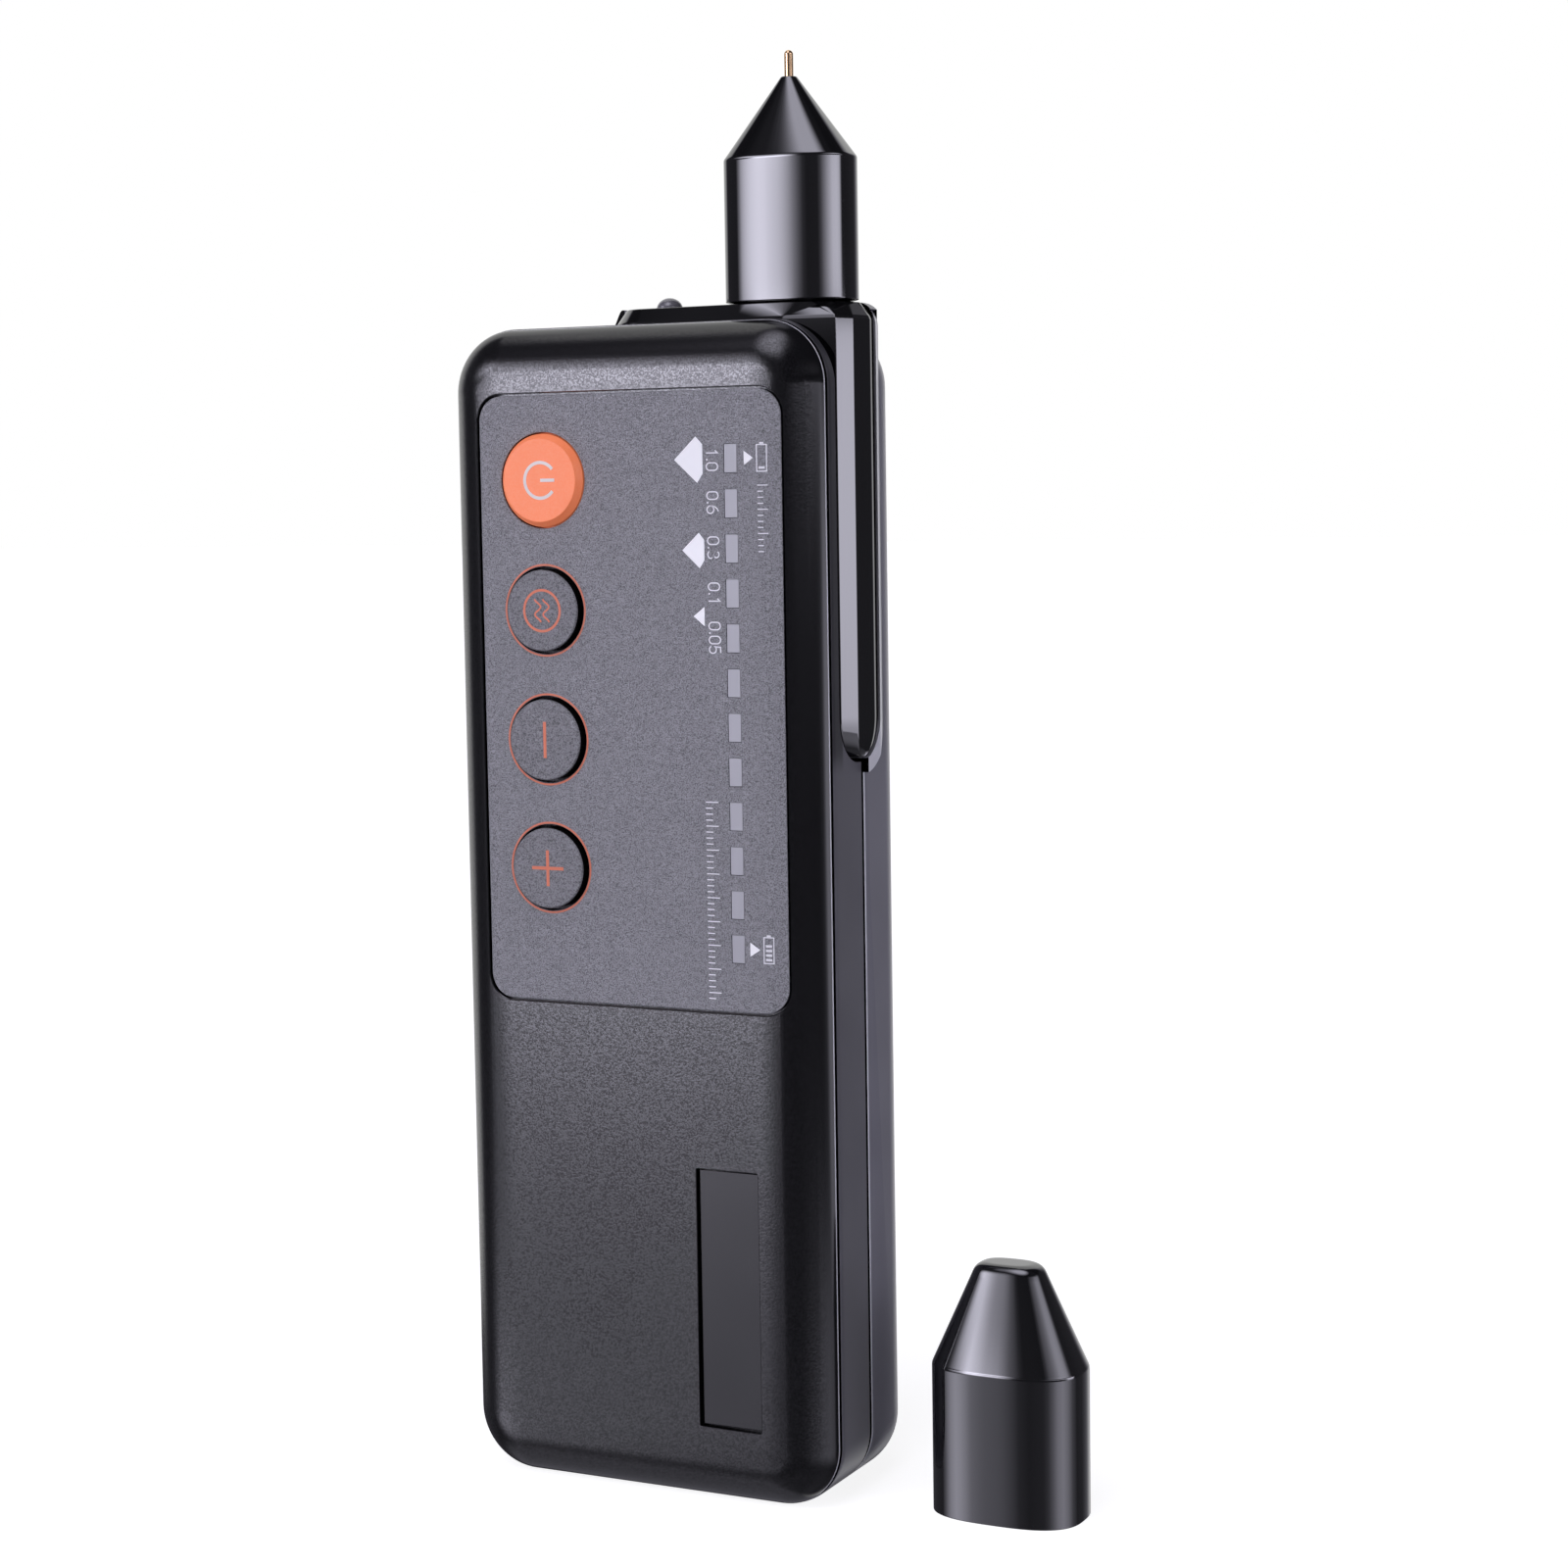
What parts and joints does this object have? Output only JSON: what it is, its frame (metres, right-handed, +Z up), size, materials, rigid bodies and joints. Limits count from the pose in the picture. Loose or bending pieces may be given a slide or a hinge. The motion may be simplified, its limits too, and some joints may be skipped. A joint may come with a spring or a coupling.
{
  "type": "diamond tester",
  "caption": "Handheld gem tester with a sprung needle probe on top, round push buttons beside a column of signal windows, and a separate slip-on cap for the probe.",
  "frame": {"origin": "on the flat of the base, under the middle of the case's width", "axes": "+Z up along the case to the probe, -Y out of the front face with the buttons, +X to the right of someone who faces the front"},
  "size_m": [0.0656, 0.022, 0.1468],
  "materials": {
    "grained_charcoal": "fine leather-like grain",
    "smooth_charcoal": "smooth, semi-gloss",
    "panel_grey": "fine salt-and-pepper grain",
    "gloss_black": "polished",
    "smooth_dark": "smooth",
    "orange": "satin",
    "window_grey": "translucent grey",
    "smoked_lens": "smoked lens",
    "copper": "copper coloured, polished",
    "steel": "plain",
    "board_green": "solder mask",
    "led_white": "moulded",
    "cell_silver": "foil pouch",
    "foam": "foam",
    "lead_red": "insulated wire"
  },
  "bodies": {
    "tester": {"front_cover": "grained_charcoal", "mid_frame": "smooth_charcoal", "rear_cover": "smooth_charcoal", "overlay_panel": "panel_grey", "name_plate": "smooth_dark", "probe_holder": "gloss_black", "probe_nose": "gloss_black", "probe_plug": "smooth_dark", "probe_spring": "steel", "lamp": "smoked_lens", "light_guide": "window_grey", "power_switch": "steel", "mode_switch": "steel", "minus_switch": "steel", "plus_switch": "steel", "led_01": "led_white", "led_02": "led_white", "led_03": "led_white", "led_04": "led_white", "led_05": "led_white", "led_06": "led_white", "led_07": "led_white", "led_08": "led_white", "led_09": "led_white", "led_10": "led_white", "led_11": "led_white", "led_12": "led_white", "main_board": "board_green", "controller_chip": "smooth_dark", "buzzer": "smooth_dark", "battery_cell": "cell_silver", "battery_pad": "foam", "usb_socket": "steel", "battery_lead": "lead_red", "probe_lead": "lead_red", "lamp_lead": "lead_red", "case_screw_1": "steel", "case_screw_2": "steel", "case_screw_3": "steel", "case_screw_4": "steel"},
    "power_button": {"power_button": "orange"},
    "mode_button": {"mode_button": "panel_grey"},
    "minus_button": {"minus_button": "panel_grey"},
    "plus_button": {"plus_button": "panel_grey"},
    "needle": {"probe_needle": "copper"},
    "cap": {"probe_cap": "gloss_black"}
  },
  "joints": [
    {"name": "power_press", "type": "slide", "parent": "tester", "child": "power_button", "axis": [0, 1, 0], "range_m": [0, 0.00025], "stiffness_N_per_m": 1500, "springref_m": -0.0004},
    {"name": "mode_press", "type": "slide", "parent": "tester", "child": "mode_button", "axis": [0, 1, 0], "range_m": [0, 0.00025], "stiffness_N_per_m": 1500, "springref_m": -0.0004},
    {"name": "minus_press", "type": "slide", "parent": "tester", "child": "minus_button", "axis": [0, 1, 0], "range_m": [0, 0.00025], "stiffness_N_per_m": 1500, "springref_m": -0.0004},
    {"name": "plus_press", "type": "slide", "parent": "tester", "child": "plus_button", "axis": [0, 1, 0], "range_m": [0, 0.00025], "stiffness_N_per_m": 1500, "springref_m": -0.0004},
    {"name": "probe_tip", "type": "slide", "parent": "tester", "child": "needle", "axis": [0, 0, -1], "range_m": [0, 0.0015], "stiffness_N_per_m": 250, "springref_m": -0.002, "deforming": ["probe_spring"]},
    {"name": "cap_lift", "type": "slide", "parent": "tester", "child": "cap", "axis": [0, 0, 1], "range_m": [0, 0.03]}
  ]
}
